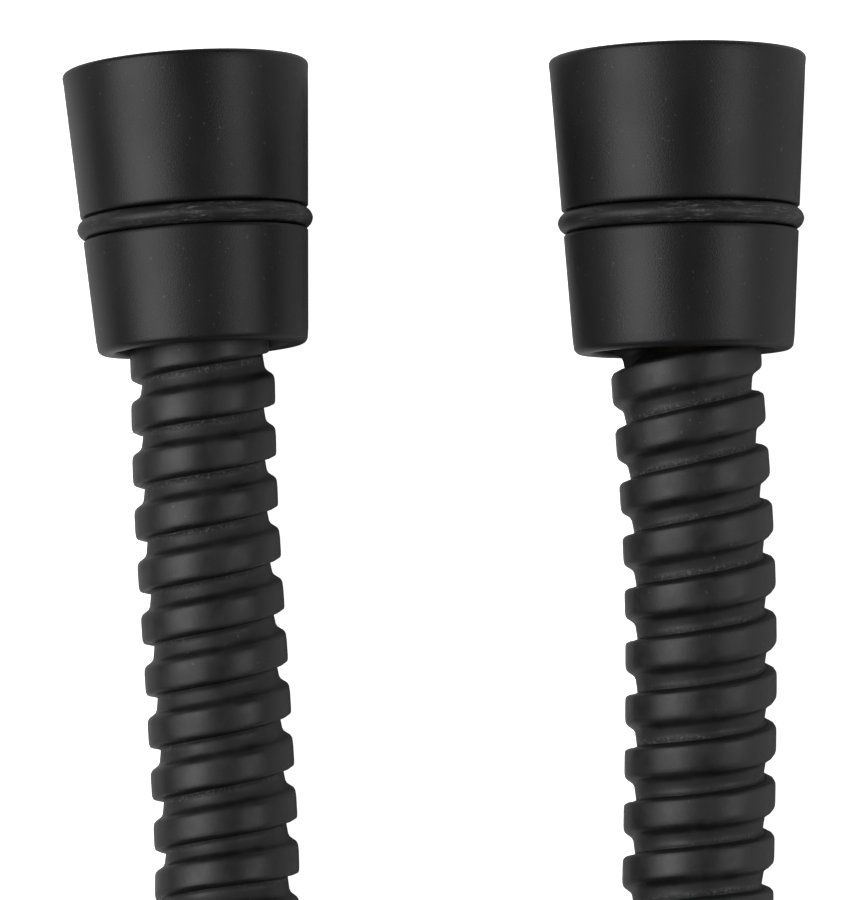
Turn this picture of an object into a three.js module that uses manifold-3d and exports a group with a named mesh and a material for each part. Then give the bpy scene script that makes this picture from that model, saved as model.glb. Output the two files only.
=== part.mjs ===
// A shower hose: a spiral metal jacket of standard length with a conical swivel nut on each end.
// Both ends lie side by side on a flat surface, and the spare length lies behind them as a tied coil.
// Units are millimetres and +Z is up. The origin is on the surface, in the middle of the two end fittings.
import * as THREE from "three";
import { mergeVertices } from "three/addons/utils/BufferGeometryUtils.js";
import Module from "manifold-3d";

const wasm = await Module();
wasm.setup();

// Hose
const hoseDiameter = 14.4;
const hoseSides = 12;
const stepDiameters = 2;

// Nut, with stations measured from its mouth towards the hose
const mouthRadius = 12.25;
const backRadius = 10.45;
const nutLength = 28.2;
const rimRound = 0.5;
const backRound = 0.7;
const threadRootRadius = 10.48;
const mouthChamfer = 0.6;
const mouthDepth = 7.6;
const grooveWall = 0.35;

// Rubber O-ring seated in the nut's groove
const ringStation = 15.7;
const ringSectionRadius = 1.0;
const ringProud = 0.45;

// Fittings inside the nut
const washerThickness = 2.3;
const washerBoreRadius = 6.0;
const flangeThickness = 2.0;
const slipRingThickness = 1.0;
const linerWall = 1.3;
const barbWall = 1.4;
const barbShoulder = 2.0;
const barbRidge = 0.3;
const barbLength = 6.0;
const barbRidges = 2;
const ferruleWall = 0.8;
const ferruleLap = 2.0;

// Clearances
const seatGap = 0.3;
const runningGap = 0.4;
const ringGap = 0.15;
const boreGap = 0.58;
const tieGap = 0.6;

// Coil of the spare length: one lane of turns on top of each other, and a lane inside it on the surface
const coilRadius = 74;
const lowLevels = 2;
const highLevels = 3;
const coilX = 6;
const coilY = -168;
const coilCorner = 4;
const rampFront = -18;
const rampBack = 52;

// Ties round the coil, with their angles from +X
const tieThickness = 1.2;
const tieWidth = 10;
const tieAngles = { left_tie: 225, right_tie: 315 };

// Facets
const nutSides = 40;
const smallSides = 24;
const ringSides = 8;
const coilSides = 48;
const roundSteps = 2;

// Where each end lies: the middle of its mouth in plan, and its turn from +Y
const ends = {
  left: { mouthX: -25.5, mouthY: 14.78, turn: 3.3 },
  right: { mouthX: 25.45, mouthY: 12.96, turn: 0.5 },
};

// The routes of the two free stretches, from where they leave their nuts to the coil
const routes = {
  left: [
    [-24.1, -24.3, 10.5],
    [-24, -30.3, 10],
    [-23.8, -36, 9.4],
    [-23.5, -42.5, 8.8],
    [-23.3, -50, 8.1],
    [-23, -57.5, 7.6],
    [-22.5, -65.5, 7.3],
    [-22.3, -74.8, 7.7],
    [-23.2, -84.2, 8.2],
    [-25.9, -94.3, 8.6],
    [-30.3, -103.8, 8.7],
  ],
  right: [
    [26.3, -24.3, 10.5],
    [26.6, -30.3, 10],
    [26.7, -36, 9.4],
    [26.6, -42.5, 8.8],
    [26.3, -50, 8.1],
    [26, -57.5, 7.6],
    [25.7, -65.5, 7.3],
    [25.7, -79.7, 7.7],
    [26.6, -89.1, 8.2],
    [29.3, -99.2, 8.6],
    [33.7, -108.6, 8.7],
  ],
};

// Sizes that follow from those above
const hoseRadius = hoseDiameter / 2;
const coneSlope = (mouthRadius - backRadius) / nutLength;
const ringReach = coneRadius(ringStation) + ringProud;
const ringRadius = ringReach - ringSectionRadius;
const grooveHalf = ringSectionRadius + ringGap;
const grooveFloor = ringRadius - ringSectionRadius - ringGap;
const restPitch = Math.asin((mouthRadius - ringReach) / (ringStation - rimRound));
const mouthHeight = mouthRadius * Math.cos(restPitch) + rimRound * Math.sin(restPitch);
const innerRadius = threadRootRadius - boreGap;
const flangeFace = mouthDepth + washerThickness + seatGap;
const flangeBack = flangeFace + flangeThickness;
const slipFace = flangeBack + seatGap;
const lipFace = slipFace + slipRingThickness + seatGap;
const lipBack = ringStation + grooveHalf + grooveWall;
const barbFace = lipBack + runningGap;
const barbEnd = barbFace + barbLength;
const linerFace = barbFace + seatGap;
const linerBoreRadius = hoseRadius - seatGap - linerWall;
const barbRadius = linerBoreRadius - seatGap - barbRidge;
const stemRadius = barbRadius + barbShoulder;
const stemBoreRadius = barbRadius - barbWall;
const lipBoreRadius = stemRadius + runningGap;
const jacketFace = barbEnd + seatGap;
const ferruleBore = hoseRadius + seatGap;
const ferruleRadius = ferruleBore + ferruleWall;
const ferruleBack = jacketFace + ferruleLap;
const backBoreRadius = ferruleRadius + runningGap;
const coilOuter = coilRadius + hoseRadius;
const coilInner = coilRadius - hoseDiameter - hoseRadius;
const coilFloor = tieThickness + tieGap;

// Radius of the nut's cone at a station
function coneRadius(station) {
  return mouthRadius - coneSlope * station;
}

// Height of the top of a number of levels in the coil
function levelTop(levels) {
  return coilFloor + levels * hoseDiameter;
}

function finish(color, roughness, metalness) {
  return new THREE.MeshStandardMaterial({ color, roughness, metalness });
}

function addPiece(group, name, geometry, material) {
  const mesh = new THREE.Mesh(geometry, material);
  mesh.name = name;
  group.add(mesh);
}

// A quarter round about a point, between two angles in degrees from the outward direction
function quarterRound(radius, station, round, from, to) {
  const points = [];
  for (let step = 0; step <= roundSteps; step += 1) {
    const angle = THREE.MathUtils.degToRad(from + ((to - from) * step) / roundSteps);
    points.push([radius + round * Math.cos(angle), station - round * Math.sin(angle)]);
  }
  return points;
}

// Turns a closed outline of [radius, station] about the fitting's axis, with the mouth at +Y
function turned(outline, sides) {
  const points = outline.map(([radius, station]) => new THREE.Vector2(radius, -station));
  points.push(points[0].clone());
  return new THREE.LatheGeometry(points, sides);
}

// A plain ring between two stations
function sleeve(inner, outer, face, back) {
  const outline = [
    [outer, back],
    [outer, face],
    [inner, face],
    [inner, back],
  ];
  return turned(outline, smallSides);
}

function nutGeometry() {
  const outline = [
    ...quarterRound(backRadius - backRound, nutLength - backRound, backRound, -90, 0),
    [coneRadius(ringStation + grooveHalf), ringStation + grooveHalf],
    [grooveFloor, ringStation + grooveHalf],
    [grooveFloor, ringStation - grooveHalf],
    [coneRadius(ringStation - grooveHalf), ringStation - grooveHalf],
    ...quarterRound(mouthRadius - rimRound, rimRound, rimRound, 0, 90),
    [threadRootRadius + mouthChamfer, 0],
    [threadRootRadius, mouthChamfer],
    [threadRootRadius, lipFace],
    [lipBoreRadius, lipFace],
    [lipBoreRadius, lipBack],
    [backBoreRadius, lipBack],
    [backBoreRadius, nutLength],
  ];
  return turned(outline, nutSides);
}

function ringGeometry() {
  const outline = [];
  for (let side = 0; side < ringSides; side += 1) {
    const angle = (2 * Math.PI * side) / ringSides;
    const radius = ringRadius + ringSectionRadius * Math.cos(angle);
    outline.push([radius, ringStation - ringSectionRadius * Math.sin(angle)]);
  }
  return turned(outline, nutSides);
}

// The stem: a flange behind the washer, a barrel through the lip, and a ridged barb for the liner
function stemGeometry() {
  const ridgeStep = barbLength / (barbRidges + 1);
  const outline = [
    [stemBoreRadius, barbEnd],
    [barbRadius, barbEnd],
  ];
  for (let ridge = barbRidges; ridge > 0; ridge -= 1) {
    outline.push([barbRadius + barbRidge, barbFace + ridge * ridgeStep]);
    outline.push([barbRadius, barbFace + ridge * ridgeStep]);
  }
  outline.push([barbRadius, barbFace]);
  outline.push([stemRadius, barbFace]);
  outline.push([stemRadius, flangeBack]);
  outline.push([innerRadius, flangeBack]);
  outline.push([innerRadius, flangeFace]);
  outline.push([stemBoreRadius, flangeFace]);
  return turned(outline, smallSides);
}

// One end's pieces on their common axis, placed so that the nut rests on its rim and its O-ring
function endFitting(side, place, finishes) {
  const fitting = new THREE.Group();
  const washer = sleeve(washerBoreRadius, innerRadius, mouthDepth, mouthDepth + washerThickness);
  const slipRing = sleeve(stemRadius + seatGap, innerRadius, slipFace, slipFace + slipRingThickness);
  const liner = sleeve(linerBoreRadius, hoseRadius - seatGap, linerFace, barbEnd);
  const ferrule = sleeve(ferruleBore, ferruleRadius, linerFace, ferruleBack);
  addPiece(fitting, `${side}_nut`, nutGeometry(), finishes.nut);
  addPiece(fitting, `${side}_o_ring`, ringGeometry(), finishes.rubber);
  addPiece(fitting, `${side}_washer`, washer, finishes.washer);
  addPiece(fitting, `${side}_stem`, stemGeometry(), finishes.brass);
  addPiece(fitting, `${side}_slip_ring`, slipRing, finishes.slip);
  addPiece(fitting, `${side}_liner`, liner, finishes.liner);
  addPiece(fitting, `${side}_ferrule`, ferrule, finishes.steel);
  fitting.position.set(place.mouthX, place.mouthY, mouthHeight);
  fitting.rotation.set(restPitch, 0, THREE.MathUtils.degToRad(place.turn), "ZYX");
  return fitting;
}

function toManifold(geometry) {
  const bare = geometry.clone();
  bare.deleteAttribute("normal");
  bare.deleteAttribute("uv");
  const merged = mergeVertices(bare);
  const vertProperties = new Float32Array(merged.attributes.position.array);
  const triVerts = new Uint32Array(merged.index.array);
  return new wasm.Manifold(new wasm.Mesh({ numProp: 3, vertProperties, triVerts }));
}

function fromManifold(solid) {
  const mesh = solid.getMesh();
  const geometry = new THREE.BufferGeometry();
  geometry.setAttribute("position", new THREE.BufferAttribute(mesh.vertProperties, 3));
  geometry.setIndex(new THREE.BufferAttribute(mesh.triVerts, 1));
  const faceted = geometry.toNonIndexed();
  faceted.computeVertexNormals();
  return faceted;
}

// The coil's section as points of radius and height, anticlockwise, with the given number of levels
function coilSection(levels) {
  const upperInner = coilRadius - hoseRadius;
  const top = levelTop(levels);
  const corners = [
    [coilInner, coilFloor + coilCorner],
    [coilInner + coilCorner, coilFloor],
    [coilOuter - coilCorner, coilFloor],
    [coilOuter, coilFloor + coilCorner],
    [coilOuter, top - coilCorner],
    [coilOuter - coilCorner, top],
    [upperInner + coilCorner, top],
  ];
  if (levels > lowLevels) corners.push([upperInner, top - coilCorner]);
  corners.push([upperInner, levelTop(lowLevels) - coilCorner]);
  corners.push([coilInner, levelTop(1) - coilCorner]);
  return corners.map(([radius, height]) => new THREE.Vector2(radius, height));
}

// Turns a closed outline of radius and height about the coil's upright axis
function turnedCoil(outline) {
  const geometry = new THREE.LatheGeometry([...outline, outline[0].clone()], coilSides);
  geometry.rotateX(Math.PI / 2);
  geometry.translate(coilX, coilY, 0);
  return geometry;
}

// Everything above a ramp that climbs from the low turns in front to the high turns behind
function aboveRamp() {
  const climb = (levelTop(highLevels) - levelTop(lowLevels)) / (rampBack - rampFront);
  const reach = coilOuter + hoseDiameter;
  const high = levelTop(highLevels);
  const outline = new THREE.Shape([
    new THREE.Vector2(-reach, high - climb * (rampBack + reach)),
    new THREE.Vector2(rampBack, high),
    new THREE.Vector2(rampBack, high + hoseDiameter),
    new THREE.Vector2(-reach, high + hoseDiameter),
  ]);
  const geometry = new THREE.ExtrudeGeometry(outline, { depth: 2 * reach, bevelEnabled: false });
  geometry.translate(0, 0, -reach);
  geometry.rotateX(Math.PI / 2);
  geometry.rotateZ(Math.PI / 2);
  geometry.translate(coilX, coilY, 0);
  return geometry;
}

// Low turns all round, and high turns behind the ramp where the hose crosses over itself
function coilGeometry() {
  const low = toManifold(turnedCoil(coilSection(lowLevels)));
  const high = toManifold(turnedCoil(coilSection(highLevels)));
  return fromManifold(high.subtract(toManifold(aboveRamp())).add(low));
}

// The room that the coil takes from the free stretches, with the gap between their faces
function coilRoom() {
  const reach = coilOuter + seatGap;
  const high = levelTop(highLevels + 1);
  const outline = [
    new THREE.Vector2(0, -hoseDiameter),
    new THREE.Vector2(reach, -hoseDiameter),
    new THREE.Vector2(reach, high),
    new THREE.Vector2(0, high),
  ];
  return turnedCoil(outline);
}

// A free stretch starts straight out of its fitting, follows its route and ends at the coil
function stretchGeometry(side, place) {
  const axis = new THREE.Vector3(0, -1, 0);
  axis.applyEuler(new THREE.Euler(restPitch, 0, THREE.MathUtils.degToRad(place.turn), "ZYX"));
  const mouth = new THREE.Vector3(place.mouthX, place.mouthY, mouthHeight);
  const start = mouth.clone().addScaledVector(axis, jacketFace);
  const clear = mouth.clone().addScaledVector(axis, nutLength);
  const points = [start, clear, ...routes[side].map((point) => new THREE.Vector3(...point))];
  const path = new THREE.CatmullRomCurve3(points);
  const corners = [];
  for (let corner = 0; corner < hoseSides; corner += 1) {
    const angle = (2 * Math.PI * (corner + 0.5)) / hoseSides;
    corners.push(new THREE.Vector2(hoseRadius * Math.cos(angle), hoseRadius * Math.sin(angle)));
  }
  const section = new THREE.Shape(corners);
  const steps = Math.ceil(path.getLength() / (stepDiameters * hoseDiameter)) + points.length;
  const tube = new THREE.ExtrudeGeometry(section, { steps, extrudePath: path });
  return fromManifold(toManifold(tube).subtract(toManifold(coilRoom())));
}

// Moves each side of a convex outline outwards by a distance
function grown(outline, distance) {
  const count = outline.length;
  return outline.map((corner, index) => {
    const arriving = corner.clone().sub(outline[(index + count - 1) % count]).normalize();
    const leaving = outline[(index + 1) % count].clone().sub(corner).normalize();
    const normalIn = new THREE.Vector2(arriving.y, -arriving.x);
    const normalOut = new THREE.Vector2(leaving.y, -leaving.x);
    const stretch = distance / (1 + normalIn.dot(normalOut));
    return corner.clone().addScaledVector(normalIn.add(normalOut), stretch);
  });
}

// A tie is a flat band round the low turns, and its lowest side lies on the surface
function tieGeometry(angle) {
  const section = coilSection(lowLevels);
  const band = new THREE.Shape(grown(section, tieGap + tieThickness));
  band.holes.push(new THREE.Path(grown(section, tieGap).reverse()));
  const geometry = new THREE.ExtrudeGeometry(band, { depth: tieWidth, bevelEnabled: false });
  geometry.translate(0, 0, -tieWidth / 2);
  geometry.rotateX(Math.PI / 2);
  geometry.rotateZ(THREE.MathUtils.degToRad(angle));
  geometry.translate(coilX, coilY, 0);
  return geometry;
}

const finishes = {
  nut: finish(0x1c1c1c, 0.45, 0.3),
  rubber: finish(0x222222, 0.75, 0),
  washer: finish(0x2a2a2a, 0.8, 0),
  brass: finish(0xb89a52, 0.35, 0.9),
  slip: finish(0xd8d6cf, 0.5, 0),
  liner: finish(0x3a3a3a, 0.7, 0),
  steel: finish(0x9a9a9a, 0.4, 0.9),
  jacket: finish(0x1b1b1b, 0.45, 0.3),
  tie: finish(0x191919, 0.8, 0),
};

const hose = new THREE.Group();
for (const [side, place] of Object.entries(ends)) {
  hose.add(endFitting(side, place, finishes));
  addPiece(hose, `${side}_hose`, stretchGeometry(side, place), finishes.jacket);
}
addPiece(hose, "hose_coil", coilGeometry(), finishes.jacket);
for (const [name, angle] of Object.entries(tieAngles)) {
  addPiece(hose, name, tieGeometry(angle), finishes.tie);
}

export default hose;
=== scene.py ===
# The looks of a shower hose: satin black spiral jacket, conical swivel nuts, and the coil of spare hose.
# Lengths are metres. mm turns the part's millimetre sizes into metres.
import bpy
import numpy as np
from math import cos, pi, radians, sin
from mathutils import Matrix, Vector


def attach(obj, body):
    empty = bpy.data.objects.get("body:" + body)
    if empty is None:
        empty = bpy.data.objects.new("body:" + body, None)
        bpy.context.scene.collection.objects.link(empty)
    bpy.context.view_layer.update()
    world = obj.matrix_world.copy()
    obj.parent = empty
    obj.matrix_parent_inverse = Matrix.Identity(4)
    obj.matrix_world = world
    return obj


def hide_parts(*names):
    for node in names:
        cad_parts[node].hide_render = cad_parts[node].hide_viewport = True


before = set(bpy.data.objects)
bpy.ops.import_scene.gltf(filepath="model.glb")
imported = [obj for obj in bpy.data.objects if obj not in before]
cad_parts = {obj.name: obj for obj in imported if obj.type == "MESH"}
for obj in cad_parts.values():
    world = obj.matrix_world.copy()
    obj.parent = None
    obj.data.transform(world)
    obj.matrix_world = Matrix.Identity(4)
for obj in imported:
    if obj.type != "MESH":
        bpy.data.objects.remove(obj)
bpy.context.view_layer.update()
print("frame loaded")

mm = 0.001


def unit(vectors):
    return vectors / np.linalg.norm(vectors, axis=-1, keepdims=True)


def smoothStep(t):
    t = np.clip(t, 0, 1)
    return t * t * (3 - 2 * t)


# Angles of evenly spaced points round a full turn
def evenAngles(count):
    return 2 * pi * np.arange(count) / count


# The photograph's camera, fitted to the nuts' widths and to how steeply each rim is seen.
# sensor is in millimetres, as Blender takes it.
camera = {
    "target": (-0.43 * mm, -23.92 * mm, 11.5 * mm),
    "distance": 400 * mm,
    "slant": radians(20),
    "lean": radians(4),
    "focalPixels": 4124,
    "longSidePixels": 900,
    "sensor": 36,
    "nearest": 10 * mm,
}


def addCamera():
    slant, lean = camera["slant"], camera["lean"]
    back = np.array([sin(slant) * cos(lean), -sin(lean), cos(slant) * cos(lean)])
    right = unit(np.cross([0, 1, 0], back))
    up = np.cross(back, right)
    place = np.array(camera["target"]) + camera["distance"] * back
    data = bpy.data.cameras.new("camera")
    data.sensor_width = camera["sensor"]
    data.lens = camera["focalPixels"] / camera["longSidePixels"] * camera["sensor"]
    data.clip_start = camera["nearest"]
    thing = bpy.data.objects.new("camera", data)
    bpy.context.scene.collection.objects.link(thing)
    pose = np.eye(4)
    pose[:3] = np.column_stack([right, up, back, place])
    thing.matrix_world = Matrix(pose.tolist())
    bpy.context.scene.camera = thing
    bpy.context.scene.view_settings.view_transform = "Standard"


# Joins the quads of a grid whose last column meets its first one, shear rows further on.
# With closedRows its last row meets its first one too.
def tubeFaces(rows, columns, shear=0, closedRows=False):
    quadRows = rows - shear - (0 if closedRows else 1)
    row, column = np.meshgrid(np.arange(quadRows), np.arange(columns), indexing="ij")
    lastColumn = column == columns - 1
    nextColumn = np.where(lastColumn, 0, column + 1)
    carry = np.where(lastColumn, shear, 0)
    nextRow = (row + 1) % rows
    a = row * columns + column
    b = (row + carry) % rows * columns + nextColumn
    c = (nextRow + carry) % rows * columns + nextColumn
    d = nextRow * columns + column
    return np.stack([a, b, c, d], axis=-1).reshape(-1, 4)


# faces is an array of quads, or a list where some faces are triangles
def addMesh(name, points, faces, body, material, nodes, uv=None):
    data = bpy.data.meshes.new(name)
    faceList = faces if isinstance(faces, list) else faces.tolist()
    data.from_pydata(points.reshape(-1, 3).tolist(), [], faceList)
    if uv is not None:
        layer = data.uv_layers.new(name="turns")
        layer.data.foreach_set("uv", np.ascontiguousarray(uv, dtype=np.float32).ravel())
    data.validate()
    data.shade_smooth()
    data.materials.append(material)
    piece = bpy.data.objects.new(name, data)
    bpy.context.scene.collection.objects.link(piece)
    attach(piece, body)
    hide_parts(*nodes)
    return piece


# A material's node tree, with short names for the nodes that the looks below use
class Shader:
    def __init__(self, name):
        self.material = bpy.data.materials.new(name)
        self.material.use_nodes = True
        self.tree = self.material.node_tree
        self.bsdf = self.tree.nodes["Principled BSDF"]

    def node(self, kind, inputs=None, **settings):
        made = self.tree.nodes.new("ShaderNode" + kind)
        for key, value in settings.items():
            setattr(made, key, value)
        for key, value in (inputs or {}).items():
            self.feed(made.inputs[key], value)
        return made

    def feed(self, socket, value):
        if isinstance(value, bpy.types.NodeSocket):
            self.tree.links.new(value, socket)
        else:
            socket.default_value = value

    def set(self, **values):
        for key, value in values.items():
            self.feed(self.bsdf.inputs[key.replace("_", " ")], value)

    def math(self, operation, a, b=0.0):
        return self.node("Math", {0: a, 1: b}, operation=operation).outputs[0]

    def product(self, first, *others):
        for other in others:
            first = self.math("MULTIPLY", first, other)
        return first

    def vector(self, operation, a, b):
        return self.node("VectorMath", {0: a, 1: b}, operation=operation).outputs[0]

    def ramp(self, value, low, high, a=0.0, b=1.0):
        inputs = {"Value": value, "From Min": low, "From Max": high, "To Min": a, "To Max": b}
        return self.node("MapRange", inputs, interpolation_type="SMOOTHSTEP").outputs[0]

    def noise(self, place, scale, detail, rough=0.5):
        inputs = {"Vector": place, "Scale": scale, "Detail": detail, "Roughness": rough}
        return self.node("TexNoise", inputs).outputs["Fac"]

    # Sockets 6, 7 and 2 are the colour ones of this node
    def mix(self, factor, a, b):
        return self.node("Mix", {0: factor, 6: a, 7: b}, data_type="RGBA").outputs[2]

    def bump(self, height, distance, strength):
        return self.node("Bump", {"Height": height, "Distance": distance, "Strength": strength}).outputs[0]

    def place(self):
        return self.node("TexCoord").outputs["Object"]

    def turns(self):
        return self.node("UVMap", uv_map="turns").outputs[0]


def grey(value, warmth=0.0):
    return (value * (1 + warmth), value, value * (1 - warmth), 1)


# Most of a noise's values lie in this span
cloudSpan = (0.3, 0.7)

# Satin powder coat: very fine grain, faint cloudiness, and a few specks of dust
coatLook = {
    "grainScale": 6500,
    "grainHeight": 0.028 * mm,
    "grainStrength": 0.7,
    "cloudScale": 90,
    "speckScale": 1900,
    "speckSpan": (0.72, 0.78),
    "speckShare": 0.22,
    "paint": (grey(0.006), grey(0.0095)),
    "dust": grey(0.15),
    "roughness": (0.4, 0.47),
    "specular": 0.34,
}


def coatMaterial():
    look = coatLook
    s = Shader("nut_coat")
    place = s.place()
    grain = s.noise(place, look["grainScale"], 2)
    cloud = s.noise(place, look["cloudScale"], 4)
    speck = s.ramp(s.noise(place, look["speckScale"], 1), *look["speckSpan"])
    colour = s.mix(s.ramp(cloud, *cloudSpan), *look["paint"])
    s.set(Base_Color=s.mix(s.product(speck, look["speckShare"]), colour, look["dust"]))
    s.set(Roughness=s.ramp(cloud, *cloudSpan, *look["roughness"]), Specular_IOR_Level=look["specular"])
    s.set(Normal=s.bump(grain, look["grainHeight"], look["grainStrength"]))
    return s.material


# Moulded rubber with pale dust in streaks along the ring. The dust is thicker in some stretches than
# in others, and on the ring's right-hand side, where the UV along the ring is negative.
ringLook = {
    "stretchRepeat": (9, 1.4, 1),
    "stretchScale": 2.2,
    "stretchSpan": (0.36, 0.6),
    "sideSpan": (-0.22, 0.06),
    "sideShare": (1, 0.4),
    "streakRepeat": (7, 5, 1),
    "streakScale": 5,
    "streakRough": 0.75,
    "streakSpan": (0.46, 0.68),
    "fineScale": 2600,
    "fineSpan": (0.35, 0.65),
    "fineShare": (0.3, 1),
    "dustShare": 0.9,
    "rubber": grey(0.014),
    "dust": grey(0.2),
    "roughness": (0.5, 0.8),
    "specular": 0.38,
    "grainHeight": 0.04 * mm,
    "grainStrength": 0.6,
}


def ringMaterial():
    look = ringLook
    s = Shader("ring_rubber")
    place, turns = s.place(), s.turns()
    share = s.node("SeparateXYZ", {0: turns}).outputs[0]
    along = s.vector("MULTIPLY", turns, look["stretchRepeat"])
    threads = s.vector("ADD", s.vector("MULTIPLY", turns, look["streakRepeat"]), place)
    stretch = s.ramp(s.noise(along, look["stretchScale"], 1), *look["stretchSpan"])
    stretch = s.product(stretch, s.ramp(share, *look["sideSpan"], *look["sideShare"]))
    streak = s.ramp(s.noise(threads, look["streakScale"], 6, look["streakRough"]), *look["streakSpan"])
    fine = s.noise(place, look["fineScale"], 3)
    dust = s.product(streak, stretch, s.ramp(fine, *look["fineSpan"], *look["fineShare"]))
    s.set(Base_Color=s.mix(s.product(dust, look["dustShare"]), look["rubber"], look["dust"]))
    s.set(Roughness=s.ramp(dust, 0, 1, *look["roughness"]), Specular_IOR_Level=look["specular"])
    s.set(Normal=s.bump(fine, look["grainHeight"], look["grainStrength"]))
    return s.material


# Coated steel strip. Phase 0 is the foot of a turn's sharp edge, where the next turn hooks in: the seam's gap
# runs there, with painted shade as a near-black line and a dip in the bump, and the paint beside it is
# crinkled and flecked. The groove's floor is a little rougher. The places of all these are phases, which run
# from 0 to 1 over a turn.
jacketLook = {
    "waverScale": 420,
    "waver": 0.02,
    "seamPlace": 0.02,
    "seamSpan": (0.004, 0.02),
    "floorEnd": (0.28, 0.36),
    "besideStart": (0.03, 0.05),
    "besideEnd": (0.1, 0.17),
    "grainScale": 3400,
    "cloudScale": 380,
    "cloudRough": 0.6,
    "crinkleScale": 3200,
    "crinkleRough": 0.7,
    "stretchScale": 75,
    "stretchSpan": (0.36, 0.58),
    "fleckSpan": (0.52, 0.64),
    "fleckShare": 0.48,
    "speckScale": 1900,
    "speckSpan": (0.74, 0.8),
    "speckShare": 0.25,
    "floorShare": 0.3,
    "seamShadeShare": 0.9,
    "paint": (grey(0.006), grey(0.015)),
    "floorPaint": grey(0.014),
    # Near-black painted shade for the gap of the seam
    "seamPaintedShade": grey(0.0005),
    "pale": grey(0.15),
    "roughness": (0.43, 0.55),
    "floorRoughness": 0.06,
    "specular": 0.48,
    "grainRise": 0.16,
    "seamDip": 1.5,
    "bumpHeight": 0.1 * mm,
    "bumpStrength": 0.7,
}


def jacketMaterial():
    look = jacketLook
    s = Shader("jacket_coat")
    place = s.place()
    turn = s.node("SeparateXYZ", {0: s.turns()}).outputs[0]
    waver = s.product(s.math("SUBTRACT", s.noise(place, look["waverScale"], 3), 0.5), look["waver"])
    phase = s.math("FRACT", s.math("ADD", turn, s.math("ADD", waver, look["seamPlace"])))
    fromSeam = s.math("ABSOLUTE", s.math("SUBTRACT", phase, look["seamPlace"]))
    seamShadeAndDip = s.ramp(fromSeam, *look["seamSpan"], 1, 0)
    floor = s.ramp(phase, *look["floorEnd"], 1, 0)
    beside = s.product(s.ramp(phase, *look["besideStart"]), s.ramp(phase, *look["besideEnd"], 1, 0))
    grain = s.noise(place, look["grainScale"], 2)
    cloud = s.noise(place, look["cloudScale"], 4, look["cloudRough"])
    crinkle = s.noise(place, look["crinkleScale"], 4, look["crinkleRough"])
    stretches = s.ramp(s.noise(place, look["stretchScale"], 2), *look["stretchSpan"])
    worn = s.product(beside, stretches)
    fleck = s.product(s.ramp(crinkle, *look["fleckSpan"]), worn)
    speck = s.ramp(s.noise(place, look["speckScale"], 1), *look["speckSpan"])
    pale = s.math("MAXIMUM", s.product(fleck, look["fleckShare"]), s.product(speck, look["speckShare"]))
    colour = s.mix(s.ramp(cloud, *cloudSpan), *look["paint"])
    colour = s.mix(s.product(floor, look["floorShare"]), colour, look["floorPaint"])
    # Painted shade: a near-black line where the seam's gap is; the same mask also dips the bump there
    colour = s.mix(s.product(seamShadeAndDip, look["seamShadeShare"]), colour, look["seamPaintedShade"])
    colour = s.mix(pale, colour, look["pale"])
    floorRough = s.ramp(floor, 0, 1, 0, look["floorRoughness"])
    rough = s.math("ADD", floorRough, s.ramp(cloud, *cloudSpan, *look["roughness"]))
    s.set(Base_Color=colour, Roughness=rough, Specular_IOR_Level=look["specular"])
    rise = s.math("ADD", s.product(grain, look["grainRise"]), s.product(crinkle, worn))
    height = s.math("SUBTRACT", rise, s.product(seamShadeAndDip, look["seamDip"]))
    s.set(Normal=s.bump(height, look["bumpHeight"], look["bumpStrength"]))
    return s.material


# Woven strap: fine slanting ribs and some fuzz
strapLook = {
    "weaveScale": 900,
    "weaveDistortion": 0.6,
    "fuzzScale": 2200,
    "fuzzRough": 0.7,
    "fibre": (grey(0.006), grey(0.02)),
    "roughness": 0.85,
    "specular": 0.2,
    "bumpHeight": 0.2 * mm,
    "bumpStrength": 0.6,
}


def strapMaterial():
    look = strapLook
    s = Shader("strap_weave")
    place = s.place()
    inputs = {"Vector": place, "Scale": look["weaveScale"], "Distortion": look["weaveDistortion"]}
    weave = s.node("TexWave", inputs, bands_direction="DIAGONAL").outputs["Fac"]
    fuzz = s.noise(place, look["fuzzScale"], 4, look["fuzzRough"])
    s.set(Base_Color=s.mix(fuzz, *look["fibre"]))
    s.set(Roughness=look["roughness"], Specular_IOR_Level=look["specular"])
    s.set(Normal=s.bump(s.math("ADD", weave, fuzz), look["bumpHeight"], look["bumpStrength"]))
    return s.material


# Plain finishes of the pieces inside the nuts: fine grain and slight mottling, between two colours
innerLooks = {
    "washer": {
        "name": "washer_rubber",
        "colours": (grey(0.012), grey(0.02)),
        "rough": 0.75,
        "metal": 0.0,
    },
    "stem": {
        "name": "turned_brass",
        "colours": ((0.42, 0.3, 0.12, 1), (0.52, 0.39, 0.17, 1)),
        "rough": 0.32,
        "metal": 1.0,
    },
    "slip_ring": {
        "name": "slip_plastic",
        "colours": (grey(0.62, 0.02), grey(0.7, 0.02)),
        "rough": 0.45,
        "metal": 0.0,
    },
    "liner": {
        "name": "liner_tube",
        "colours": (grey(0.03), grey(0.045)),
        "rough": 0.6,
        "metal": 0.0,
    },
    "ferrule": {
        "name": "crimped_steel",
        "colours": (grey(0.4), grey(0.5)),
        "rough": 0.35,
        "metal": 1.0,
    },
}
innerShared = {
    "mottleScale": 260,
    "fineScale": 2800,
    "smoother": 0.06,
    "rougher": 0.08,
    "grainHeight": 0.03 * mm,
    "grainStrength": 0.5,
}


def innerMaterial(look):
    s = Shader(look["name"])
    place = s.place()
    mottle = s.noise(place, innerShared["mottleScale"], 4)
    fine = s.noise(place, innerShared["fineScale"], 3)
    low, high = look["rough"] - innerShared["smoother"], look["rough"] + innerShared["rougher"]
    s.set(Base_Color=s.mix(mottle, *look["colours"]), Metallic=look["metal"])
    s.set(Roughness=s.ramp(mottle, *cloudSpan, low, high))
    s.set(Normal=s.bump(fine, innerShared["grainHeight"], innerShared["grainStrength"]))
    return s.material


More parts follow.
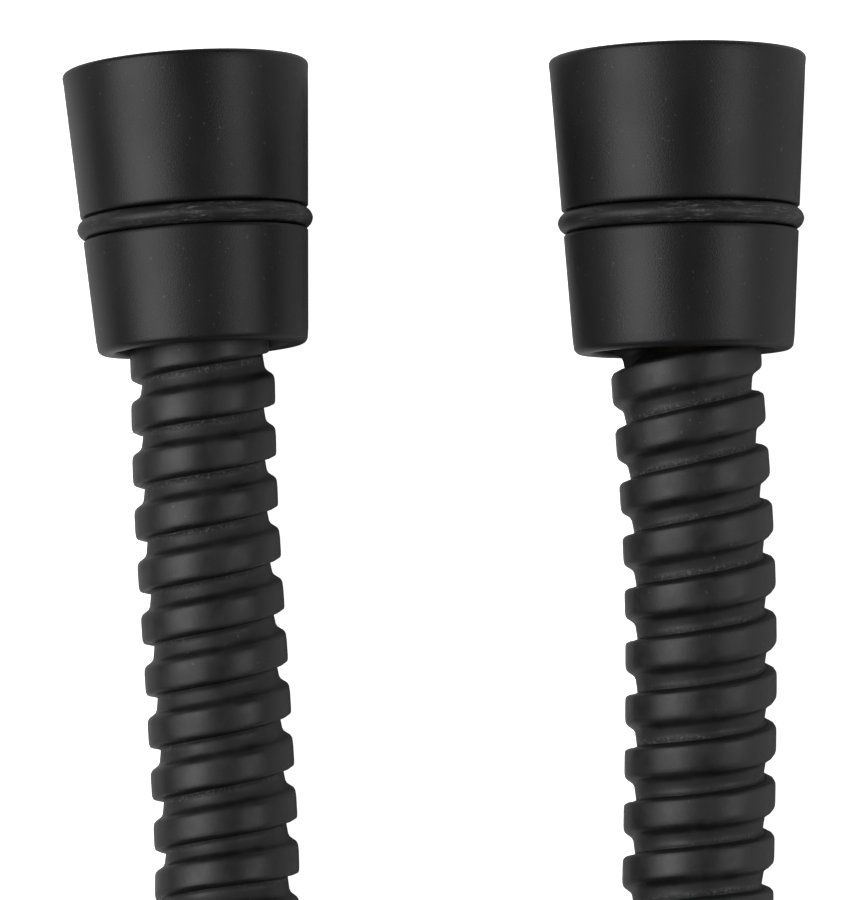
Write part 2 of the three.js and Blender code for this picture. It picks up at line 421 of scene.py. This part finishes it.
# Where each end lies, as in the part's source: the middle of its mouth, and its turn from +Y
ends = {
    "left": {"mouth": (-25.5 * mm, 14.78 * mm), "turn": radians(3.3)},
    "right": {"mouth": (25.45 * mm, 12.96 * mm), "turn": radians(0.5)},
}
# Stations are distances from the mouth. edge is the size of the small bevels.
nut = {
    "mouthRadius": 12.25 * mm,
    "backRadius": 10.45 * mm,
    "length": 28.2 * mm,
    "rimRound": 0.5 * mm,
    "backRound": 0.7 * mm,
    "rimEnd": 1.2 * mm,
    "backEnd": 1.4 * mm,
    "edge": 0.12 * mm,
    "boreRadius": 10.48 * mm,
    "chamfer": 0.6 * mm,
    "lipFace": 13.8 * mm,
    "lipBack": 17.2 * mm,
    "lipBore": 7.4 * mm,
    "backBore": 8.7 * mm,
    "ringStation": 15.7 * mm,
    "ringSection": 1.0 * mm,
    "ringProud": 0.45 * mm,
    "grooveGap": 0.15 * mm,
    "threadPitch": 1.814 * mm,
    "threadDepth": 1.0 * mm,
    "threadStart": 0.5 * mm,
    "threadLength": 7.4 * mm,
    "threadFade": 1 * mm,
    "threadRelief": 0.4 * mm,
    "threadRows": 44,
    "sides": 128,
}


# Radius of the nut's cone at a distance from its mouth
def coneRadius(station):
    return nut["mouthRadius"] - (nut["mouthRadius"] - nut["backRadius"]) * station / nut["length"]


def conePoints(*stations):
    return [[coneRadius(station), station] for station in stations]


# A nut rests on its rim and its O-ring, so its axis is pitched a little
ringReach = coneRadius(nut["ringStation"]) + nut["ringProud"]
restPitch = np.arcsin((nut["mouthRadius"] - ringReach) / (nut["ringStation"] - nut["rimRound"]))
mouthHeight = nut["mouthRadius"] * cos(restPitch) + nut["rimRound"] * sin(restPitch)


# Middle of an end's mouth, and its sideways, mouthward and upward directions
def endFrame(side):
    turn = ends[side]["turn"]
    across = np.array([cos(turn), sin(turn), 0])
    along = np.array([-sin(turn) * cos(restPitch), cos(turn) * cos(restPitch), sin(restPitch)])
    mouth = np.array([*ends[side]["mouth"], mouthHeight])
    return mouth, across, along, np.cross(across, along)


# Points of [radius, station] on an arc between two angles in degrees
def arcPoints(radius, station, size, start, stop, count):
    angle = np.radians(np.linspace(start, stop, count))
    return np.column_stack([radius + size * np.cos(angle), station - size * np.sin(angle)])


# The same radius all round, as turnedPoints takes it
def allRound(radius, sides):
    return np.repeat(radius[:, None], sides, axis=1)


# Turns rows of radii about an end's axis, each row at its own station
def turnedPoints(side, radius, station, sides):
    mouth, across, along, up = endFrame(side)
    angle = evenAngles(sides)
    spoke = np.cos(angle)[:, None] * across + np.sin(angle)[:, None] * up
    return mouth - station[:, None, None] * along + radius[:, :, None] * spoke[None]


# The nut's outline from its mouth along the outside to its back, and home through the bore.
# The bore carries a right-handed rounded thread: radius = bore - depth * (1 + cos(turns)) / 2,
# with turns = station / pitch - angle / full turn, and it runs out at both of its ends.
def addNut(side, material):
    sides, edge, backFace = nut["sides"], nut["edge"], nut["length"]
    rimRound, backRound = nut["rimRound"], nut["backRound"]
    backRadius, backBore = nut["backRadius"], nut["backBore"]
    boreRadius, lipBore = nut["boreRadius"], nut["lipBore"]
    lipFace, lipBack = nut["lipFace"], nut["lipBack"]
    half = nut["ringSection"] + nut["grooveGap"]
    front, rear = nut["ringStation"] - half, nut["ringStation"] + half
    floor = ringReach - 2 * nut["ringSection"] - nut["grooveGap"]
    outline = np.vstack([
        arcPoints(nut["mouthRadius"] - rimRound, rimRound, rimRound, 90, 0, 6),
        conePoints(nut["rimEnd"], front - 4 * edge, front - edge),
        [[coneRadius(front) - edge, front], [floor + edge, front], [floor, front + edge]],
        [[floor, rear - edge], [floor + edge, rear], [coneRadius(rear) - edge, rear]],
        conePoints(rear + edge, rear + 4 * edge, backFace - nut["backEnd"]),
        arcPoints(backRadius - backRound, backFace - backRound, backRound, 0, -90, 7),
        [[backRadius - backRound - edge, backFace], [backBore + 3 * edge, backFace]],
        [[backBore + edge, backFace - edge], [backBore, backFace - 3 * edge]],
        [[backBore, lipBack + edge], [backBore - edge, lipBack]],
        [[lipBore + edge, lipBack], [lipBore, lipBack - edge]],
        [[lipBore, lipFace + edge], [lipBore + edge, lipFace]],
        [[boreRadius - edge, lipFace], [boreRadius, lipFace - edge]],
    ])
    threadStations = np.linspace(nut["threadLength"] + nut["threadRelief"], nut["chamfer"], nut["threadRows"])
    turns = threadStations[:, None] / nut["threadPitch"] - evenAngles(sides)[None, :] / (2 * pi)
    fadeIn = smoothStep((threadStations - nut["threadStart"]) / nut["threadFade"])
    fadeOut = smoothStep((nut["threadLength"] - threadStations) / nut["threadFade"])
    fade = (fadeIn * fadeOut)[:, None]
    threaded = boreRadius - nut["threadDepth"] * fade * (1 + np.cos(2 * pi * turns)) / 2
    chamferRadius = boreRadius + nut["chamfer"]
    closing = np.array([[chamferRadius, 0], [chamferRadius + edge, 0]])
    radius = np.vstack([allRound(outline[:, 0], sides), threaded, allRound(closing[:, 0], sides)])
    station = np.concatenate([outline[:, 1], threadStations, closing[:, 1]])
    points = turnedPoints(side, radius, station, sides)
    faces = tubeFaces(len(station), sides, closedRows=True)
    addMesh(f"{side}_swivel_nut", points, faces, f"{side}_swivel", material, [f"{side}_nut"])


ring = {
    "sides": 128,
    "around": 20,
    "wander": 0.03 * mm,
    "flash": 0.03 * mm,
    "flashWidth": 0.1,
}


# The O-ring wanders by a few hundredths along the nut, in waves of 3 and 7 to the turn, and a moulding
# flash line runs round its crest. Its UV is 0 at the ring's top, and runs to half a turn down both sides.
def addRing(side, material):
    sides, around = ring["sides"], ring["around"]
    section, angle = evenAngles(around), evenAngles(sides)
    wander = ring["wander"] * (np.sin(3 * angle + 1) + np.sin(7 * angle) / 2)
    flash = ring["flash"] * np.exp(-((np.sin(section / 2) / ring["flashWidth"]) ** 2))
    radius = ringReach - nut["ringSection"] + (nut["ringSection"] + flash) * np.cos(section)
    station = nut["ringStation"] - nut["ringSection"] * np.sin(section)
    along = endFrame(side)[2]
    points = turnedPoints(side, allRound(radius, sides), station, sides) + wander[None, :, None] * along
    faces = tubeFaces(around, sides, closedRows=True)
    row, column = np.divmod(np.arange(len(faces)), sides)
    share = (column / sides + 0.25) % 1 - 0.5
    nextShare = share + 1 / sides
    low, high = row / around, (row + 1) / around
    uv = np.stack([share, low, nextShare, low, nextShare, high, share, high], axis=-1).reshape(-1, 2)
    name, nodes = f"{side}_grip_ring", [f"{side}_o_ring"]
    addMesh(name, points, faces, f"{side}_swivel", material, nodes, uv)


# start is how far behind the mouth the jacket begins, and entry is how deep in the nut the second
# point of its line lies. leftShift is how far beside the left route's last point the coil's run ends.
hose = {
    "radius": 7.2 * mm,
    "pitch": 5.15 * mm,
    "start": 23.9 * mm,
    "entry": 4 * mm,
    "leftShift": 0.2 * mm,
    "sides": 24,
    "smoothing": 5 * mm,
    "smoothingReach": 3,
    "sample": 1 * mm,
    "leastGap": 0.001 * mm,
}
# The coil of spare hose, as in the part's source. It is told in degrees of its turns, from 180:
# where it rises over a turn below, and where it is tucked down to the inside.
coil = {
    "centre": (6 * mm, -168 * mm),
    "radius": 74 * mm,
    "floor": 1.8 * mm,
    "bend": 60 * mm,
    "bendPoints": 40,
    "begin": 180,
    "end": 1080,
    "firstRise": 340,
    "secondRise": 700,
    "riseSweep": 68,
    "tuck": 805,
    "tuckSweep": 143,
}
# The routes of the two free stretches, the same points as in the part's source, in millimetres
routes = {
    "left": [
        (-24.1, -24.3, 10.5),
        (-24, -30.3, 10),
        (-23.8, -36, 9.4),
        (-23.5, -42.5, 8.8),
        (-23.3, -50, 8.1),
        (-23, -57.5, 7.6),
        (-22.5, -65.5, 7.3),
    ],
    "right": [
        (26.3, -24.3, 10.5),
        (26.6, -30.3, 10),
        (26.7, -36, 9.4),
        (26.6, -42.5, 8.8),
        (26.3, -50, 8.1),
        (26, -57.5, 7.6),
        (25.7, -65.5, 7.3),
    ],
}


# Two equal arcs that shift a run of hose sideways and leave it heading the same way.
# The points start at the arc's end nearer the coil, where the run meets the circle of the coil.
def sideStep(x, y, towards):
    bend = coil["bend"]
    sweep = np.arccos(1 - abs(towards - x) / (2 * bend))
    steps = np.linspace(0, sweep, coil["bendPoints"])
    side = np.sign(towards - x)
    near = np.column_stack([x + side * bend * (1 - np.cos(steps)), y + bend * np.sin(steps)])
    far = np.array([towards, y + 2 * bend * np.sin(sweep)]) - (near - [x, y])[::-1]
    return np.vstack([near, far[1:]])


def atHeight(points, height):
    return np.column_stack([points, np.full(len(points), height)])


# The coil runs anticlockwise for two and a half turns: low, over the crossing, on top of the first turn,
# over itself, then round the inside of the second turn and down to the lane inside the first.
# On the tuck, travel is how far the hose has gone round the turn below it: a quarter of a circle
# whose radius is one hose diameter, and then straight down for one diameter.
def hosePath():
    cx, cy = coil["centre"]
    wide = 2 * hose["radius"]
    low = coil["floor"] + hose["radius"]
    starts = {}
    for side, route in routes.items():
        mouth, along = endFrame(side)[::2]
        stations = [hose["start"], nut["length"] - hose["entry"], nut["length"]]
        starts[side] = np.vstack([[mouth - along * station for station in stations], np.array(route) * mm])
    turn = np.radians(np.arange(coil["begin"], coil["end"] + 1, 1.0))
    degrees = np.degrees(turn)
    firstRise = smoothStep((degrees - coil["firstRise"]) / coil["riseSweep"])
    secondRise = smoothStep((degrees - coil["secondRise"]) / coil["riseSweep"])
    height = low + wide * (firstRise + secondRise)
    travel = smoothStep((degrees - coil["tuck"]) / coil["tuckSweep"]) * wide * (pi / 2 + 1)
    roll = np.minimum(travel / wide, pi / 2)
    drop = np.maximum(travel - wide * pi / 2, 0)
    radius = coil["radius"] - wide * np.sin(roll)
    height = np.where(travel > 0, low + wide + wide * np.cos(roll) - drop, height)
    rings = np.column_stack([cx + radius * np.cos(turn), cy + radius * np.sin(turn), height])
    leftStep = sideStep(rings[0, 0], rings[0, 1], starts["left"][-1, 0] + hose["leftShift"])
    rightStep = sideStep(rings[-1, 0], rings[-1, 1], starts["right"][-1, 0])
    leftRun, rightRun = atHeight(leftStep, low)[::-1][2:], atHeight(rightStep, low)[:-2]
    return smoothed(np.vstack([starts["left"], leftRun, rings[1:-1], rightRun, starts["right"][::-1]]))


# Even steps along the corners, then a weighted mean along the line, which keeps the two straight tips.
# Corners that lie on each other are dropped first.
def smoothed(corners):
    gaps = np.linalg.norm(np.diff(corners, axis=0), axis=1)
    corners = corners[np.concatenate([[True], gaps > hose["leastGap"]])]
    reach = np.concatenate([[0], np.cumsum(np.linalg.norm(np.diff(corners, axis=0), axis=1))])
    even = np.arange(0, reach[-1], hose["sample"])
    line = np.column_stack([np.interp(even, reach, corners[:, axis]) for axis in range(3)])
    count = int(hose["smoothingReach"] * hose["smoothing"] / hose["sample"])
    weights = np.exp(-0.5 * (np.arange(-count, count + 1) * hose["sample"] / hose["smoothing"]) ** 2)
    weights /= weights.sum()
    before = line[0] + (line[0] - line[1]) * np.arange(count, 0, -1)[:, None]
    after = line[-1] + (line[-1] - line[-2]) * np.arange(1, count + 1)[:, None]
    padded = np.vstack([before, line, after])
    return np.column_stack([np.convolve(padded[:, axis], weights, mode="valid") for axis in range(3)])


# One turn of the strip from groove to groove: distance along the hose and depth below the crown,
# in millimetres
ribProfile = [
    (0.04, 1.16),
    (0.70, 1.08),
    (1.35, 0.98),
    (1.62, 0.84),
    (1.82, 0.58),
    (2.00, 0.30),
    (2.20, 0.12),
    (2.45, 0.03),
    (2.85, 0.0),
    (4.30, 0.0),
    (4.66, 0.02),
    (4.85, 0.10),
    (4.96, 0.30),
    (5.03, 0.70),
]


# Values along a line, read off at the given distances along it
def readOff(values, reach, arc):
    return np.stack([np.interp(arc, reach, values[:, axis]) for axis in range(3)], axis=-1)


# The jacket is one grid wound like the strip: each row starts where the row one turn back ends.
# A point lies at centreline(arc) + radius(row) * (cos(angle) * side + sin(angle) * up),
# with arc = pitch * (row's place in its turn + angle / full turn), so the spiral is right-handed.
# Each end is closed by a fan of triangles round the loop of its first or last turn's edge.
def addHose(line, length, material):
    perTurn, sides = len(ribProfile), hose["sides"]
    rows = int(length / hose["pitch"]) * perTurn + 1
    spots, depths = np.array(ribProfile).T * mm
    index = np.arange(rows)
    turnPlace = index // perTurn + spots[index % perTurn] / hose["pitch"]
    radius = hose["radius"] - depths[index % perTurn]
    angle = evenAngles(sides)
    arc = (turnPlace[:, None] + angle[None, :] / (2 * pi)) * length / turnPlace[-1]
    reach = np.linspace(0, length, len(line))
    tangent = unit(readOff(np.gradient(line, axis=0), reach, arc))
    side = unit(np.cross([0, 0, 1], tangent))
    up = np.cross(tangent, side)
    spoke = np.cos(angle)[None, :, None] * side + np.sin(angle)[None, :, None] * up
    points = (readOff(line, reach, arc) + radius[:, None, None] * spoke).reshape(-1, 3)
    faces = tubeFaces(rows, sides, perTurn)
    lastRow = rows - 1 - perTurn
    loops = [
        np.concatenate([np.arange(sides), np.arange(perTurn, 0, -1) * sides])[::-1],
        np.concatenate([lastRow * sides + np.arange(sides), np.arange(rows - 1, lastRow, -1) * sides]),
    ]
    caps = []
    for loop in loops:
        caps.append(np.column_stack([np.full(len(loop), len(points)), loop, np.roll(loop, -1)]))
        points = np.vstack([points, points[loop].mean(axis=0)])
    caps = np.vstack(caps)
    row, column = np.divmod(np.arange(len(faces)), sides)
    turn, nextTurn = turnPlace[row], turnPlace[row + 1]
    share, nextShare = column / sides, (column + 1) / sides
    uv = np.stack([turn, share, turn, nextShare, nextTurn, nextShare, nextTurn, share], axis=-1)
    uv = np.vstack([uv.reshape(-1, 2), np.zeros((caps.size, 2))])
    used = np.unique(np.concatenate([faces.ravel(), caps.ravel()]))
    renumber = np.zeros(len(points), dtype=int)
    renumber[used] = np.arange(len(used))
    everyFace = renumber[faces].tolist() + renumber[caps].tolist()
    nodes = ("left_hose", "hose_coil", "right_hose")
    return addMesh("hose_jacket", points[used], everyFace, "hose", material, nodes, uv)


tie = {
    "angles": {"left": radians(225), "right": radians(315)},
    "width": 10 * mm,
    "thickness": 1.2 * mm,
    "gap": 0.4 * mm,
    "arcPoints": 14,
    "edgePoints": 7,
    "flatPoints": 3,
}


# A strap pulled tight round three turns: its line is the outline round three circles, each an arc
# of the strap's distance from a turn's middle. Its section is a flat strip with rounded edges.
def addTie(side, material):
    wide = 2 * hose["radius"]
    low = coil["floor"] + hose["radius"]
    middles = [
        (coil["radius"], low, -90, 0),
        (coil["radius"], low + wide, 0, 135),
        (coil["radius"] - wide, low, 135, 270),
    ]
    edge, half = tie["thickness"] / 2, tie["width"] / 2
    reach = hose["radius"] + tie["gap"] + edge
    arcs = [(np.radians(np.linspace(start, stop, tie["arcPoints"])), x, z) for x, z, start, stop in middles]
    lean = np.concatenate([angle for angle, x, z in arcs])
    spots = np.vstack([np.column_stack([x + reach * np.cos(a), z + reach * np.sin(a)]) for a, x, z in arcs])
    corner = np.radians(np.linspace(-90, 90, tie["edgePoints"]))
    rim = np.column_stack([half - edge + edge * np.cos(corner), edge * np.sin(corner)])
    across = np.linspace(-(half - edge), half - edge, tie["flatPoints"] + 2)[1:-1]
    outside, inside = atHeight(across[::-1], edge), atHeight(across, -edge)
    strip = np.vstack([rim, outside, -rim, inside])
    outward = np.stack([np.cos(lean), np.sin(lean)], axis=-1)[:, None, :]
    section = spots[:, None, :] + strip[None, :, 1:] * outward
    turn = tie["angles"][side]
    spoke, tangent = np.array([cos(turn), sin(turn), 0]), np.array([-sin(turn), cos(turn), 0])
    middle, upward = np.array([*coil["centre"], 0]), np.array([0, 0, 1])
    points = middle + section[..., :1] * spoke + strip[None, :, :1] * tangent + section[..., 1:] * upward
    faces = tubeFaces(len(spots), len(strip), closedRows=True)[:, ::-1]
    return addMesh(f"{side}_strap", points, faces, "hose", material, [f"{side}_tie"])


addCamera()
print("camera placed")
line = hosePath()
length = np.linalg.norm(np.diff(line, axis=0), axis=1).sum()
jacket = addHose(line, length, jacketMaterial())
strap = strapMaterial()
straps = [addTie(side, strap) for side in ends]
print("hose length", length)

coat, rubber = coatMaterial(), ringMaterial()
for side in ends:
    addNut(side, coat)
    addRing(side, rubber)
inner = {name: innerMaterial(look) for name, look in innerLooks.items()}
for side in ends:
    for name, material in inner.items():
        node = bpy.data.objects[f"{side}_{name}"]
        node.data.materials.clear()
        node.data.materials.append(material)
print("ends made")

stage = {
    "halfSize": 3,
    "mottleScale": 6,
    "paper": (grey(0.88), grey(0.9)),
    "roughness": 0.9,
    "specular": 0.1,
    "world": 0.12,
    "lights": {
        "key": {"place": (-0.3, -0.02, 0.62), "size": 0.55, "power": 3.9},
        "fill": {"place": (0.8, -0.05, 0.32), "size": 0.4, "power": 1.9},
    },
}


# A pale floor, an even pale world, and two soft lights. The photograph's background is cut out to
# plain white, so the floor glows for the camera alone and lights the hose as plain paper does.
def addStage():
    half = stage["halfSize"]
    data = bpy.data.meshes.new("floor")
    corners = [(-half, -half, 0), (half, -half, 0), (half, half, 0), (-half, half, 0)]
    data.from_pydata(corners, [], [(0, 1, 2, 3)])
    floor = bpy.data.objects.new("floor", data)
    bpy.context.scene.collection.objects.link(floor)
    s = Shader("floor_paper")
    s.set(Base_Color=s.mix(s.noise(s.place(), stage["mottleScale"], 2), *stage["paper"]))
    s.set(Roughness=stage["roughness"], Specular_IOR_Level=stage["specular"])
    s.set(Emission_Color=grey(1), Emission_Strength=s.node("LightPath").outputs["Is Camera Ray"])
    data.materials.append(s.material)
    world = bpy.data.worlds.new("world")
    world.use_nodes = True
    background = world.node_tree.nodes["Background"]
    background.inputs["Color"].default_value = grey(1)
    background.inputs["Strength"].default_value = stage["world"]
    bpy.context.scene.world = world
    for name, light in stage["lights"].items():
        lamp = bpy.data.lights.new(name, "AREA")
        lamp.size = light["size"]
        lamp.energy = light["power"]
        thing = bpy.data.objects.new(name, lamp)
        bpy.context.scene.collection.objects.link(thing)
        thing.location = light["place"]
        aim = Vector(camera["target"]) - Vector(light["place"])
        thing.rotation_euler = aim.to_track_quat("-Z", "Y").to_euler()


addStage()
print("stage set")
